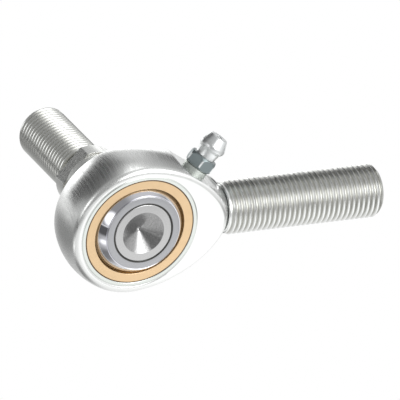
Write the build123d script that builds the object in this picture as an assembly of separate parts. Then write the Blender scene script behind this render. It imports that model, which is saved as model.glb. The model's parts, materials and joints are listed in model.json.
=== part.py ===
from build123d import *

import os
from math import cos, pi, radians, sin, sqrt, tan

# A studded, greaseable male rod end, in millimetres.
#
# The origin is the centre of the ball. +X runs out along the threaded shank.
# The housing bore lies along Y: the riveted face of the ball looks towards -Y,
# and the threaded stud leaves towards +Y. +Z is up. The ball and its stud are
# drawn hanging down a little in the race, by stud_droop, turned about X.

# ---------------------------------------------------------------- driving sizes

# Threads: half-inch on the shank and on the stud, drawn at their major diameter.
thread_radius = 6.35
thread_end_chamfer = 1.05

# Ball: a sphere with two flats that stand proud of the eye, bored for the stud.
ball_radius = 12.2
ball_proud = 1.85
ball_edge_chamfer = 0.2

# Race: two bronze inserts, one from each side, held by a lip staked over each.
race_wall = 1.7
race_recess = 0.1
race_grease_gap = 2.0
race_edge_chamfer = 0.45
race_fit_gap = 0.01
ball_running_gap = 0.04

# Housing: a ball-shaped eye that swells into the neck and ends in the shank.
eye_wall = 3.4
eye_half_width = 6.25
neck_swell_angle = 83.5
neck_swell_radius = 30.0
neck_relief_depth = 0.5
neck_relief_length = 1.9
shank_tip = 62.7

# Stud: riveted into the front of the ball, with a wrench collar behind it.
stud_droop = 5.0
rivet_flare = 0.7
rivet_depth = 1.3
rivet_edge_chamfer = 0.2
rivet_cone_radius = 5.15
rivet_cone_angle = 120.0
rivet_dimple_radius = 0.6
rivet_dimple_depth = 0.7
stud_turning_gap = 0.03
shoulder_step = 1.45
shoulder_length = 1.1
neck_flare = 0.65
collar_step = 1.4
collar_start = 20.4
collar_length = 4.15
collar_edge_chamfer = 0.25
wrench_angle = 140.0
stud_tip = 50.8

# Grease nipple: it stands on a flat cut square to its own axis. Its thread ends just
# outside the race, at an angle round the bore measured up from the shank.
nipple_angle = 56.0
nipple_foot_angle = 31.54
nipple_foot_wall = 1.353
nipple_seat_radius = 7.2
nipple_thread_radius = 2.95
nipple_thread_length = 3.4
nipple_thread_chamfer = 0.5
nipple_thread_gap = 0.02
nipple_collar_height = 1.3
nipple_groove_radius = 2.6
nipple_groove_height = 0.25
hex_width = 6.35
hex_height = 2.8
waist_radius = 2.5
waist_height = 0.8
head_radius = 3.2
head_cone_height = 1.8
head_land_height = 0.7
head_top_radius = 2.15
head_dome_height = 2.4
head_dome_bulge = 0.16
grease_hole_radius = 1.0

# Check valve inside the nipple.
check_ball_radius = 1.19
check_ball_gap = 0.02
orifice_radius = 0.8
orifice_length = 0.5
chamber_clearance = 0.13
chamber_floor_thickness = 0.8
inlet_radius = 0.6
spring_wire_radius = 0.16
spring_side_gap = 0.21
spring_turns = 10

# ------------------------------------------------------------------- worked out

race_outer_radius = ball_radius + race_wall
race_half_width = eye_half_width - race_recess
eye_radius = race_outer_radius + eye_wall
ball_half_width = eye_half_width + ball_proud
neck_relief_radius = thread_radius - neck_relief_depth

rivet_rim_radius = thread_radius + rivet_flare
collar_radius = thread_radius + collar_step
collar_end = collar_start + collar_length

shank_axis = Axis((0, 0, 0), (1, 0, 0))
stud_axis = Axis((0, 0, 0), (0, 1, 0))
droop = Rot(-stud_droop, 0, 0)

nipple_x = cos(radians(nipple_angle))
nipple_z = sin(radians(nipple_angle))
foot_reach = race_outer_radius + nipple_foot_wall
nipple_seat_x = foot_reach * cos(radians(nipple_foot_angle)) + nipple_thread_length * nipple_x
nipple_seat_z = foot_reach * sin(radians(nipple_foot_angle)) + nipple_thread_length * nipple_z
nipple_plane = Plane(
    origin=(nipple_seat_x, 0, nipple_seat_z),
    x_dir=(0, 1, 0),
    z_dir=(nipple_x, 0, nipple_z),
)

hex_start = nipple_collar_height + nipple_groove_height
hex_end = hex_start + hex_height
head_start = hex_end + waist_height + head_cone_height
dome_start = head_start + head_land_height
nipple_height = dome_start + head_dome_height

chamber_radius = check_ball_radius + chamber_clearance
chamber_floor = chamber_floor_thickness - nipple_thread_length
orifice_foot = nipple_height - orifice_length
check_ball_height = orifice_foot + orifice_radius - sqrt(2) * (check_ball_radius + check_ball_gap)
spring_coil_radius = chamber_radius - spring_wire_radius - spring_side_gap


def turned(outline, axis):
    """Close an outline drawn in the XY plane and turn it once round an axis."""
    return revolve(make_face(outline), axis, 360)


def slab(half_width, reach, start_x, end_x):
    """A block that spans start_x to end_x, beyond one milled face of the eye."""
    depth = reach - half_width
    block = Box(end_x - start_x, depth, 2 * reach)
    return Pos((start_x + end_x) / 2, half_width + depth / 2, 0) * block


# ---------------------------------------------------------------------- housing


def neck_end(radius):
    """Distance along X at which the swelling neck has come down to a radius."""
    swell = radians(neck_swell_angle)
    offset = neck_swell_radius - eye_radius
    centre_x = -offset * cos(swell)
    centre_r = -offset * sin(swell)
    return centre_x + sqrt(neck_swell_radius**2 - (radius - centre_r) ** 2)


def housing_blank():
    """The eye, neck and shank as one turned bar."""
    swell = radians(neck_swell_angle)
    tangent = (eye_radius * cos(swell), eye_radius * sin(swell))
    back = (-eye_radius, 0)
    half_turn = (pi + swell) / 2
    over_the_back = (eye_radius * cos(half_turn), eye_radius * sin(half_turn))
    relief_start = neck_end(neck_relief_radius)
    relief = (relief_start, neck_relief_radius)
    thread_start = relief_start + neck_relief_length
    eye_line = ThreePointArc(back, over_the_back, tangent)
    neck_line = RadiusArc(tangent, relief, neck_swell_radius)
    shank_line = Polyline(
        relief,
        (thread_start - neck_relief_depth, neck_relief_radius),
        (thread_start, thread_radius),
        (shank_tip - thread_end_chamfer, thread_radius),
        (shank_tip, thread_radius - thread_end_chamfer),
        (shank_tip, 0),
        back,
    )
    return turned(eye_line + neck_line + shank_line, shank_axis)


def race_seat():
    """The space for the two inserts, narrowed at both faces by the staked lips."""
    mouth = race_outer_radius - race_edge_chamfer
    shoulder = race_half_width - race_edge_chamfer
    beyond = 2 * eye_half_width
    outline = Polyline(
        (0, -beyond),
        (mouth, -beyond),
        (mouth, -race_half_width),
        (race_outer_radius, -shoulder),
        (race_outer_radius, shoulder),
        (mouth, race_half_width),
        (mouth, beyond),
        (0, beyond),
        close=True,
    )
    return turned(outline, stud_axis)


def nipple_seat():
    """The flat, the threaded hole and the grease passage for the nipple."""
    flat = extrude(Circle(nipple_seat_radius), eye_radius)
    hole_radius = nipple_thread_radius + nipple_thread_gap
    hole = extrude(Circle(hole_radius), -nipple_thread_length)
    passage = extrude(Circle(grease_hole_radius), -eye_radius / 2)
    return nipple_plane.location * (flat + hole + passage)


def make_rod_end_body():
    body = housing_blank()
    milled_end = neck_end(neck_relief_radius)
    back = -2 * eye_radius
    reach = 2 * eye_radius
    milled = slab(eye_half_width, reach, back, milled_end)
    body -= milled
    body -= mirror(milled, Plane.XZ)
    body -= nipple_seat()
    body -= race_seat()
    return body


# ------------------------------------------------------------------------- race


def make_race_insert():
    """The rear insert. Its inner end stops short of the middle to leave the grease gap."""
    outer = race_outer_radius - race_fit_gap
    start = race_grease_gap / 2
    blank = Polyline(
        (0, start),
        (outer, start),
        (outer, race_half_width - race_edge_chamfer),
        (outer - race_edge_chamfer, race_half_width),
        (0, race_half_width),
        close=True,
    )
    ring = turned(blank, stud_axis)
    return ring - Sphere(ball_radius + ball_running_gap)


# --------------------------------------------------------------- ball and stud


def stud_bore(gap):
    """The stud's riveted end and body inside the ball, grown all round by a gap."""
    rim = rivet_rim_radius + gap
    body = thread_radius + gap
    front = -ball_half_width
    outline = Polyline(
        (0, 2 * front),
        (rim, 2 * front),
        (rim, front + rivet_edge_chamfer),
        (body, front + rivet_depth + gap),
        (body, 2 * ball_half_width),
        (0, 2 * ball_half_width),
        close=True,
    )
    return turned(outline, stud_axis)


def make_ball():
    flat_radius = sqrt(ball_radius**2 - ball_half_width**2)
    blank = Sphere(ball_radius)
    between_flats = Rot(90, 0, 0) * Cylinder(2 * ball_radius, 2 * ball_half_width)
    blank = blank & between_flats
    rims = [e for e in blank.edges() if e.geom_type == GeomType.CIRCLE]
    rims = [e for e in rims if abs(e.radius - flat_radius) < ball_edge_chamfer]
    blank = chamfer(rims, ball_edge_chamfer)
    return droop * (blank - stud_bore(stud_turning_gap))


def make_stud():
    front = -ball_half_width
    cone_depth = rivet_cone_radius / tan(radians(rivet_cone_angle / 2))
    dimple_step = rivet_dimple_radius / tan(radians(rivet_cone_angle / 2))
    cone_foot = front + cone_depth - dimple_step
    shoulder_start = ball_half_width + stud_turning_gap
    shoulder_radius = thread_radius + shoulder_step
    shoulder_slope = shoulder_length / 2
    outline = Polyline(
        (0, cone_foot + rivet_dimple_depth),
        (rivet_dimple_radius, cone_foot),
        (rivet_cone_radius, front),
        (rivet_rim_radius - rivet_edge_chamfer, front),
        (rivet_rim_radius, front + rivet_edge_chamfer),
        (thread_radius, front + rivet_depth),
        (thread_radius, shoulder_start),
        (shoulder_radius, shoulder_start),
        (shoulder_radius, shoulder_start + shoulder_slope),
        (thread_radius, shoulder_start + shoulder_length),
        (thread_radius + neck_flare, collar_start),
        (collar_radius - collar_edge_chamfer, collar_start),
        (collar_radius, collar_start + collar_edge_chamfer),
        (collar_radius, collar_end - collar_edge_chamfer),
        (collar_radius - collar_edge_chamfer, collar_end),
        (thread_radius, collar_end),
        (thread_radius, stud_tip - thread_end_chamfer),
        (thread_radius - thread_end_chamfer, stud_tip),
        (0, stud_tip),
        close=True,
    )
    stud = turned(outline, stud_axis)

    # The wrench flats are milled down to the thread's major diameter.
    collar_middle = (collar_start + collar_end) / 2
    cutter = Box(collar_radius, collar_length, 3 * collar_radius)
    flat_middle = thread_radius + collar_radius / 2
    for side in (-1, 1):
        flat = Pos(side * flat_middle, collar_middle, 0) * cutter
        stud -= Rot(0, -wrench_angle, 0) * flat
    return droop * stud


# ---------------------------------------------------------------- grease nipple


def make_nipple_body():
    corner_radius = hex_width / sqrt(3)
    hex_chamfer = corner_radius - hex_width / 2
    waist_end = hex_end + waist_height
    middle_height = (dome_start + nipple_height) / 2
    middle_radius = (head_radius + head_top_radius) / 2 + head_dome_bulge
    lower = Polyline(
        (0, -nipple_thread_length),
        (nipple_thread_radius - nipple_thread_chamfer, -nipple_thread_length),
        (nipple_thread_radius, nipple_thread_chamfer - nipple_thread_length),
        (nipple_thread_radius, nipple_collar_height),
        (nipple_groove_radius, nipple_collar_height),
        (nipple_groove_radius, hex_start),
        (waist_radius, hex_start),
        (waist_radius, waist_end),
        (head_radius, head_start),
        (head_radius, dome_start),
    )
    dome = ThreePointArc(
        (head_radius, dome_start),
        (middle_radius, middle_height),
        (head_top_radius, nipple_height),
    )
    top = Polyline(
        (head_top_radius, nipple_height),
        (0, nipple_height),
        (0, -nipple_thread_length),
    )
    nipple = turned(lower + dome + top, stud_axis)

    # The hexagon is trimmed by a turned blank that bevels its corners at both ends.
    hexagon = extrude(RegularPolygon(corner_radius, 6), hex_height)
    hexagon = Rot(-90, 0, 0) * hexagon
    trim = Polyline(
        (0, 0),
        (hex_width / 2, 0),
        (corner_radius, hex_chamfer / 2),
        (corner_radius, hex_height - hex_chamfer),
        (hex_width / 2, hex_height),
        (0, hex_height),
        close=True,
    )
    hexagon = hexagon & turned(trim, stud_axis)
    nipple += Pos(0, hex_start, 0) * hexagon

    # The valve chamber opens in a cone towards the small hole at the top.
    chamber_top = orifice_foot - (chamber_radius - orifice_radius)
    chamber = Polyline(
        (0, -2 * nipple_thread_length),
        (inlet_radius, -2 * nipple_thread_length),
        (inlet_radius, chamber_floor),
        (chamber_radius, chamber_floor),
        (chamber_radius, chamber_top),
        (orifice_radius, orifice_foot),
        (orifice_radius, 2 * nipple_height),
        (0, 2 * nipple_height),
        close=True,
    )
    nipple -= turned(chamber, stud_axis)
    return nipple_plane.location * (Rot(90, 0, 0) * nipple)


def make_check_ball():
    ball = Sphere(check_ball_radius)
    return nipple_plane.location * (Pos(0, 0, check_ball_height) * ball)


def make_spring():
    """Open coil spring between the chamber floor and the underside of the ball."""
    reach = check_ball_radius + spring_wire_radius + check_ball_gap
    top = check_ball_height - sqrt(reach**2 - spring_coil_radius**2)
    foot = chamber_floor + spring_wire_radius + check_ball_gap
    height = top - foot
    path = Helix(pitch=height / spring_turns, height=height, radius=spring_coil_radius)
    section = Plane(origin=path @ 0, z_dir=path % 0) * Circle(spring_wire_radius)
    wire = sweep(section, path=path, is_frenet=True)
    return nipple_plane.location * (Pos(0, 0, foot) * wire)


# ----------------------------------------------------------------------- export

rear_insert = make_race_insert()

nodes = {
    "rod_end_body": make_rod_end_body(),
    "race_insert_front": mirror(rear_insert, Plane.XZ),
    "race_insert_rear": rear_insert,
    "ball": make_ball(),
    "stud": make_stud(),
    "nipple_body": make_nipple_body(),
    "nipple_check_ball": make_check_ball(),
    "nipple_spring": make_spring(),
}

os.makedirs("parts", exist_ok=True)
for name, shape in nodes.items():
    shape.label = name
    export_step(shape, f"parts/{name}.step")
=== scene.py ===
import json
from math import acos, asin, atan2, cos, pi, radians, sin, sqrt, tan

import bmesh
import bpy
from bpy.props import FloatProperty, FloatVectorProperty, IntProperty, PointerProperty
from mathutils import Matrix, Vector


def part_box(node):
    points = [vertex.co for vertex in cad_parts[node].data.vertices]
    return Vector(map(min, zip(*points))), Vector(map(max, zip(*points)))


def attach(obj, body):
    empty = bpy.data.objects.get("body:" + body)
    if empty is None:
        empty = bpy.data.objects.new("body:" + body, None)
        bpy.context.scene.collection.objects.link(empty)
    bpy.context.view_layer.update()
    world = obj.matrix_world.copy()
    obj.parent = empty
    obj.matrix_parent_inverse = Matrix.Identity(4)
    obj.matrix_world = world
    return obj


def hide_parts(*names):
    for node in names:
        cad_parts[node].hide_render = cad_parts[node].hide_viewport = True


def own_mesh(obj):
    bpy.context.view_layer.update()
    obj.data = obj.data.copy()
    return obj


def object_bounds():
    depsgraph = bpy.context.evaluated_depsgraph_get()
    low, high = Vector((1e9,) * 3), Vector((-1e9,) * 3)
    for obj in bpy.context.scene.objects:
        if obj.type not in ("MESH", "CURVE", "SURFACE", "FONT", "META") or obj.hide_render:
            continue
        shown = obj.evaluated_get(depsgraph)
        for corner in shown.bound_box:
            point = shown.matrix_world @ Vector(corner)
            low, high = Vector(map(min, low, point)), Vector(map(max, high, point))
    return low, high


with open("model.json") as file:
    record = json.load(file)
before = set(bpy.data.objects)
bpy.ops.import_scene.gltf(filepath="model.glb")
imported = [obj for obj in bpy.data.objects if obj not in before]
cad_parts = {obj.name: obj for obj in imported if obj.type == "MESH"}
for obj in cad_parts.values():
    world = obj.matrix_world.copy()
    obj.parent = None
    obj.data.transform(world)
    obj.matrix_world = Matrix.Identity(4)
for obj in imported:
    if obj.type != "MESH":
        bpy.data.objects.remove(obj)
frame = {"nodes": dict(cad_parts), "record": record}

bl_info = {
    "name": "Studded rod end",
    "version": (1, 0, 0),
    "blender": (4, 5, 0),
    "location": "3D View > Sidebar > Rod End",
    "description": "Builds the finished surfaces of a studded, greaseable rod end around its frame",
    "category": "Object",
}

MM = 0.001
SLIVER = MM * 0.01
RIVET_GAP = MM * 0.03
WELD_DISTANCE = 2e-6
NO_RADIUS = 1e-9

# How finely the small roundings are divided.
ARC_STEPS = 8
NECK_ROWS = 12
HEX_STEPS = 10

# Length of the hexagon's turned-back ends, as a multiple of how far its corners are cut.
HEX_SLOPE_BELOW = 1.1
HEX_SLOPE_ABOVE = 1.7

# ------------------------------------------------------- sizes read from the frame

cad_low, cad_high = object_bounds()
record = frame["record"]
mounts = {mount["name"]: mount for mount in record["mounts"]}

SHANK_AXIS = Vector((1, 0, 0))
BORE_AXIS = Vector((0, 1, 0))
STUD_AXIS = Vector(mounts["stud_thread"]["axis"]).normalized()
NIPPLE_AXIS = Vector(mounts["grease_coupler"]["axis"]).normalized()
NIPPLE_TOP = Vector(mounts["grease_coupler"]["pos_m"])

body_low, body_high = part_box("rod_end_body")
race_low, race_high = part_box("race_insert_rear")
ball_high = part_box("ball")[1]

EYE_RADIUS = -body_low.x
SHANK_TIP = body_high.x
THREAD_RADIUS = mounts["shank_thread"]["dims"]["r_mm"] * MM
RACE_OUTER_RADIUS = race_high.x
RACE_HALF_WIDTH = race_high.y
RACE_INNER_END = race_low.y
BALL_RADIUS = ball_high.x

shank_mount = mounts["shank_thread"]
shank_half_thread = shank_mount["dims"]["length_mm"] * MM / 2
SHANK_THREAD_START = shank_mount["pos_m"][0] - shank_half_thread
THREAD_CHAMFER = SHANK_TIP - shank_mount["pos_m"][0] - shank_half_thread

stud_mount = mounts["stud_thread"]
stud_middle = Vector(stud_mount["pos_m"]).dot(STUD_AXIS)
stud_half_thread = stud_mount["dims"]["length_mm"] * MM / 2
COLLAR_END = Vector(mounts["stud_shoulder"]["pos_m"]).dot(STUD_AXIS)
STUD_TIP = stud_middle + stud_half_thread + THREAD_CHAMFER


def size(name, description, default):
    """A length of the object, in metres, given in millimetres."""
    length = default * MM
    return FloatProperty(
        name=name, description=description, default=length, unit="LENGTH", precision=5
    )


def angle_of(name, description, degrees):
    """An angle, in radians, given in degrees."""
    default = radians(degrees)
    return FloatProperty(name=name, description=description, default=default, subtype="ANGLE")


def count_of(name, description, default):
    """A whole number of steps."""
    return IntProperty(name=name, description=description, default=default, min=1)


def tint(name, description, default):
    """A surface colour, as linear red, green and blue."""
    return FloatVectorProperty(
        name=name, description=description, default=default, subtype="COLOR", size=3, min=0, max=1
    )


# ------------------------------------------------------------------ user settings


class ThreadSettings(bpy.types.PropertyGroup):
    pitch: size("Pitch", "Distance from one thread crest to the next", 1.27)
    depth: size("Depth", "Height of the thread from root to crest", 0.62)
    run_in: size("Run-in", "Length over which the thread rises out of its relief", 1.0)
    segments: count_of("Segments", "Steps round a turned piece, a multiple of 24", 96)
    rows: count_of("Rows per turn", "Steps from one crest to the next", 12)


class HousingSettings(bpy.types.PropertyGroup):
    half_width: size("Eye half width", "From the middle of the eye to its milled face", 6.25)
    edge_rounding: size("Edge rounding", "Rounding between a milled face and the turned eye", 1.6)
    swell_angle: angle_of("Swell angle", "Where the eye's ball shape becomes the neck", 83.5)
    swell_radius: size("Swell radius", "Radius of the neck's long curve", 30.0)
    relief_radius: size("Relief radius", "Radius of the groove before the shank's thread", 5.85)
    relief_rounding: size("Relief rounding", "Rounding where the neck meets the groove", 0.6)
    lip_rounding: size("Lip rounding", "Rounding of the lip staked over the race", 0.18)
    ring_width: size("Staked ring", "Width of the ring staked over the race", 1.1)
    ring_depth: size("Ring groove", "Depth of the groove round the staked ring", 0.16)
    back_steps: count_of("Back steps", "Steps round the back of the eye", 120)
    neck_steps: count_of("Neck steps", "Steps from the eye down the neck", 90)
    staked: tint("Staked ring", "Colour of the worked ring round the race", (0.64, 0.67, 0.64))
    zinc: tint("Zinc plate", "Colour of the bright zinc plate", (0.82, 0.83, 0.82))
    # Painted shade: this colour darkens the plate down in the thread roots, where shade falls.
    root: tint("Thread root", "Colour of the plate down in the thread", (0.46, 0.46, 0.43))


class BearingSettings(bpy.types.PropertyGroup):
    race_chamfer: size("Race chamfer", "Chamfer under the staked lip", 0.45)
    race_rounding: size("Race rounding", "Rounding of the race's edges", 0.12)
    race_mouth: size("Race mouth", "Radius of the counterbore in the race's face", 11.05)
    running_gap: size("Running gap", "Gap between race and ball", 0.04)
    ball_half_width: size("Ball half width", "From the middle of the ball to a flat", 8.1)
    ball_rounding: size("Ball rounding", "Rounding between the sphere and a flat", 0.25)
    bore_rounding: size("Bore rounding", "Rounding of the ball's bore at the riveted rim", 0.12)
    bronze: tint("Bronze", "Colour of the bearing bronze", (0.75, 0.55, 0.335))
    # Painted shade: every surface of the race off its face, the counterbore's wall among them, is
    # painted this darker bronze.
    counterbore_shade: tint("Dull bronze", "Colour of the counterbore's oiled wall", (0.42, 0.28, 0.13))
    # Painted shade: this colour darkens the race's face at its edge, in the seam under the staked
    # lip.
    seam: tint("Seam", "Colour of the oil in the race's seams", (0.10, 0.06, 0.035))
    # Painted shade: this colour darkens the ball's flat in the gap round the riveted rim.
    rivet_gap_shade: tint("Rivet seam", "Colour of the dirt round the rivet", (0.05, 0.05, 0.045))
    chrome: tint("Chrome", "Colour of the polished sphere", (0.70, 0.70, 0.74))
    ground: tint("Ground flat", "Colour of the ball's ground flats", (0.39, 0.395, 0.41))


class StudSettings(bpy.types.PropertyGroup):
    rim_radius: size("Rivet rim", "Radius of the riveted end", 7.05)
    rim_depth: size("Rivet depth", "Depth of the flared part of the riveted end", 1.3)
    cone_radius: size("Cone radius", "Radius of the cone pressed into the riveted end", 5.15)
    cone_angle: angle_of("Cone angle", "Full angle of that cone", 120)
    dimple_radius: size("Dimple radius", "Radius of the small hole at the foot of the cone", 0.6)
    dimple_depth: size("Dimple depth", "Depth of that hole", 0.7)
    shoulder_radius: size("Shoulder radius", "Radius of the shoulder behind the ball", 7.8)
    shoulder_length: size("Shoulder length", "Length of that shoulder", 1.1)
    neck_radius: size("Neck top radius", "Radius of the neck where it meets the collar", 7.0)
    collar_start: size("Collar start", "From the ball's centre to the wrench collar", 20.4)
    collar_radius: size("Collar radius", "Radius of the wrench collar", 7.75)
    wrench_width: size("Wrench width", "Across the two wrench flats", 12.7)
    wrench_angle: angle_of("Wrench angle", "Turn of the wrench flats about the stud", 40)
    seat_rounding: size("Edge rounding", "Rounding of the stud's turned edges", 0.2)
    steel: tint("Stud plate", "Colour of the stud's plate", (0.78, 0.79, 0.77))
    # Painted shade: this colour darkens the plate down in the thread roots, where shade falls.
    root: tint("Thread root", "Colour of the plate down in the thread", (0.52, 0.52, 0.47))
    bare: tint("Bare steel", "Colour of the ground and pressed riveted end", (0.46, 0.46, 0.46))


class NippleSettings(bpy.types.PropertyGroup):
    thread_radius: size("Thread radius", "Radius of the threaded end and the collar", 2.95)
    thread_length: size("Thread length", "Length of the threaded end", 3.4)
    collar_height: size("Collar height", "Height of the plain collar on the seat", 1.3)
    groove_radius: size("Groove radius", "Radius of the groove under the hexagon", 2.6)
    groove_height: size("Groove height", "Height of that groove", 0.25)
    hex_width: size("Hexagon width", "Across the flats of the hexagon", 6.35)
    hex_height: size("Hexagon height", "Height of the hexagon", 2.8)
    waist_radius: size("Waist radius", "Radius of the waist over the hexagon", 2.5)
    waist_height: size("Waist height", "Height of the waist", 0.8)
    head_radius: size("Head radius", "Radius of the coupler head", 3.2)
    head_cone: size("Head cone", "Height of the cone under the head", 1.8)
    throat_radius: size("Throat radius", "Radius where a coupler grips under the head", 2.68)
    head_flare: size("Head flare", "Height over which the throat opens out to the head", 0.75)
    head_land: size("Head land", "Height of the straight part of the head", 0.7)
    top_radius: size("Top radius", "Radius of the flat on top", 2.15)
    height: size("Height", "From the seat to the top", 10.05)
    orifice_radius: size("Orifice radius", "Radius of the hole in the top", 0.8)
    orifice_length: size("Orifice length", "Length of that hole", 0.5)
    chamber_radius: size("Chamber radius", "Radius of the spring's chamber", 1.32)
    chamber_floor: size("Chamber floor", "Thickness of the floor under the spring", 0.8)
    inlet_radius: size("Inlet radius", "Radius of the hole in that floor", 0.6)
    wire_radius: size("Wire radius", "Radius of the check spring's wire", 0.16)
    coil_radius: size("Coil radius", "Radius of the check spring's coil", 0.95)
    spring_turns: FloatProperty(
        name="Spring turns", description="Turns of the check spring", default=10.0, min=1
    )
    hole_gap: size("Hole gap", "Gap round the threaded end in its hole", 0.02)
    passage_radius: size("Passage radius", "Radius of the grease passage to the race", 1.0)
    seat_radius: size("Seat radius", "Radius of the spot face that the nipple stands on", 7.2)
    edge_rounding: size("Edge rounding", "Rounding of the turned edges", 0.12)
    plate: tint("Nipple plate", "Colour of the nipple's plate", (0.80, 0.82, 0.82))
    milled: tint("Milled hexagon", "Colour of the passivated hexagon", (0.225, 0.262, 0.268))
    collar: tint("Nipple collar", "Colour of the passivated collar", (0.66, 0.70, 0.66))


class StageSettings(bpy.types.PropertyGroup):
    azimuth: angle_of("Azimuth", "Camera direction round the object", -27.88)
    elevation: angle_of("Elevation", "Camera height above the horizon", 28.92)
    roll: angle_of("Roll", "Turn of the camera about its line of sight", 7.61)
    distance: size("Distance", "From the camera to the ball's centre plane", 1500.0)
    aim_right: size("Aim right", "Camera offset to its own right", 16.277)
    aim_up: size("Aim up", "Camera offset upwards", 4.269)
    lens: FloatProperty(name="Lens", description="Focal length in millimetres", default=587.5)
    floor_drop: size("Floor drop", "From the eye down to the floor, clear of the tilted stud", 10.5)
    floor_size: size("Floor size", "Half the width of the floor", 4000.0)
    paper: tint("Paper", "Colour of the floor", (0.92, 0.92, 0.92))


class RodEndSettings(bpy.types.PropertyGroup):
    thread: PointerProperty(type=ThreadSettings, name="Thread", description="Both threads")
    housing: PointerProperty(type=HousingSettings, name="Housing", description="Eye and shank")
    bearing: PointerProperty(type=BearingSettings, name="Bearing", description="Race and ball")
    stud: PointerProperty(type=StudSettings, name="Stud", description="Riveted stud")
    nipple: PointerProperty(type=NippleSettings, name="Nipple", description="Grease nipple")
    stage: PointerProperty(type=StageSettings, name="Stage", description="Camera, floor and light")


# -------------------------------------------------------------- mesh construction


def frame_matrix(origin, axis, across):
    """A placement whose Z runs along axis and whose X points across."""
    z = axis.normalized()
    x = (across - z * across.dot(z)).normalized()
    turn = Matrix((x, z.cross(x), z)).transposed().to_4x4()
    return Matrix.Translation(origin) @ turn


def soften(corners, closed=False, steps=4):
    """Turn (radius, height, rounding) corners into points, with an arc at each rounded corner."""
    points = []
    last = len(corners) - 1
    for i, (r, z, rounding) in enumerate(corners):
        here = Vector((r, z))
        is_end = not closed and i in (0, last)
        if rounding == 0 or is_end:
            points.append(here)
            continue
        before = (Vector(corners[i - 1][:2]) - here).normalized()
        after = (Vector(corners[(i + 1) % (last + 1)][:2]) - here).normalized()
        half = acos(max(-1.0, min(1.0, before.dot(after)))) / 2
        centre = here + (before + after).normalized() * rounding / sin(half)
        reach = rounding / tan(half)
        start = here + before * reach - centre
        end = here + after * reach - centre
        for step in range(steps + 1):
            share = step / steps
            arm = start.lerp(end, share).normalized() * rounding
            points.append(centre + arm)
    return points


def round_ring(bm, radius, height, segments):
    """Vertices round Z. The radius is a number, or a function of the angle."""
    ring = []
    for s in range(segments):
        angle = 2 * pi * s / segments
        r = radius(angle) if callable(radius) else radius
        ring.append(bm.verts.new((r * cos(angle), r * sin(angle), height)))
    return ring


def turned(bm, outline, segments, closed=False):
    """Turn an outline of (radius, height) points about Z into bm. Open outlines end on the axis."""
    rings = []
    for r, z in outline:
        if abs(r) < NO_RADIUS:
            rings.append([bm.verts.new((0, 0, z))])
        else:
            rings.append(round_ring(bm, r, z, segments))
    if closed:
        rings.append(rings[0])
    for low, high in zip(rings, rings[1:]):
        join_rings(bm, low, high)


def join_rings(bm, low, high):
    """Faces between two rings of vertices, either of which may be a single pole."""
    count = max(len(low), len(high))
    for s in range(count):
        t = (s + 1) % count
        if len(low) == 1 and len(high) == 1:
            return
        if len(low) == 1:
            bm.faces.new((low[0], high[t], high[s]))
        elif len(high) == 1:
            bm.faces.new((low[s], low[t], high[0]))
        else:
            bm.faces.new((low[s], low[t], high[t], high[s]))


def join_grid(bm, rows):
    """Faces between neighbouring rows of equally many vertices."""
    for low, high in zip(rows, rows[1:]):
        for k in range(len(low) - 1):
            bm.faces.new((low[k], low[k + 1], high[k + 1], high[k]))


def weld(bm):
    """Merge what meets, drop what has no area and point every face outwards."""
    bmesh.ops.remove_doubles(bm, verts=bm.verts, dist=WELD_DISTANCE)
    bmesh.ops.dissolve_degenerate(bm, edges=bm.edges, dist=WELD_DISTANCE / 2)
    bmesh.ops.recalc_face_normals(bm, faces=bm.faces)


def make_object(name, bm):
    """A new object at the origin from bm, which is used up."""
    mesh = bpy.data.meshes.new(name)
    bm.to_mesh(mesh)
    bm.free()
    piece = bpy.data.objects.new(name, mesh)
    bpy.context.scene.collection.objects.link(piece)
    return piece


def evaluated_mesh(piece):
    """The mesh that a piece's modifiers make, on its own."""
    bpy.context.view_layer.update()
    depsgraph = bpy.context.evaluated_depsgraph_get()
    return bpy.data.meshes.new_from_object(piece.evaluated_get(depsgraph), depsgraph=depsgraph)


def absorb(bm, mesh, placement):
    """Add a loose mesh to bm, where placement puts it, and remove it."""
    mesh.transform(placement)
    bm.from_mesh(mesh)
    bpy.data.meshes.remove(mesh)


def run_nodes(tree, values):
    """The mesh that a geometry node tree makes from named values."""
    holder = make_object("node_holder", bmesh.new())
    modifier = holder.modifiers.new("shape", "NODES")
    modifier.node_group = tree
    for item in tree.interface.items_tree:
        if item.in_out == "INPUT" and item.name in values:
            modifier[item.identifier] = values[item.name]
    mesh = evaluated_mesh(holder)
    bpy.data.objects.remove(holder)
    return mesh


def cut(piece, *tools):
    """Subtract tool objects from a piece and remove them."""
    for tool in tools:
        boolean = piece.modifiers.new("cut", "BOOLEAN")
        boolean.operation = "DIFFERENCE"
        boolean.solver = "EXACT"
        boolean.object = tool
    mesh = evaluated_mesh(piece)
    piece.modifiers.clear()
    old = piece.data
    piece.data = mesh
    bpy.data.meshes.remove(old)
    for tool in tools:
        bpy.data.objects.remove(tool)


def smooth_surface(piece, sharp_degrees):
    """Smooth shading, broken at edges sharper than an angle, with the large faces kept flat."""
    bm = bmesh.new()
    bm.from_mesh(piece.data)
    weld(bm)
    for face in bm.faces:
        face.smooth = True
    for edge in bm.edges:
        edge.smooth = edge.calc_face_angle(pi) < radians(sharp_degrees)
    bm.to_mesh(piece.data)
    bm.free()
    weighted = piece.modifiers.new("flat faces stay flat", "WEIGHTED_NORMAL")
    weighted.keep_sharp = True


def finish_piece(piece, placement, sharp_degrees, material, body, node):
    """Place and smooth a piece, hang it on the body it rides on, and hide the node it stands for.
    """
    piece.data.transform(placement)
    smooth_surface(piece, sharp_degrees)
    piece.data.materials.clear()
    piece.data.materials.append(material)
    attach(piece, body)
    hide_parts(node)


# ------------------------------------------------------------- threads, as nodes


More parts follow.
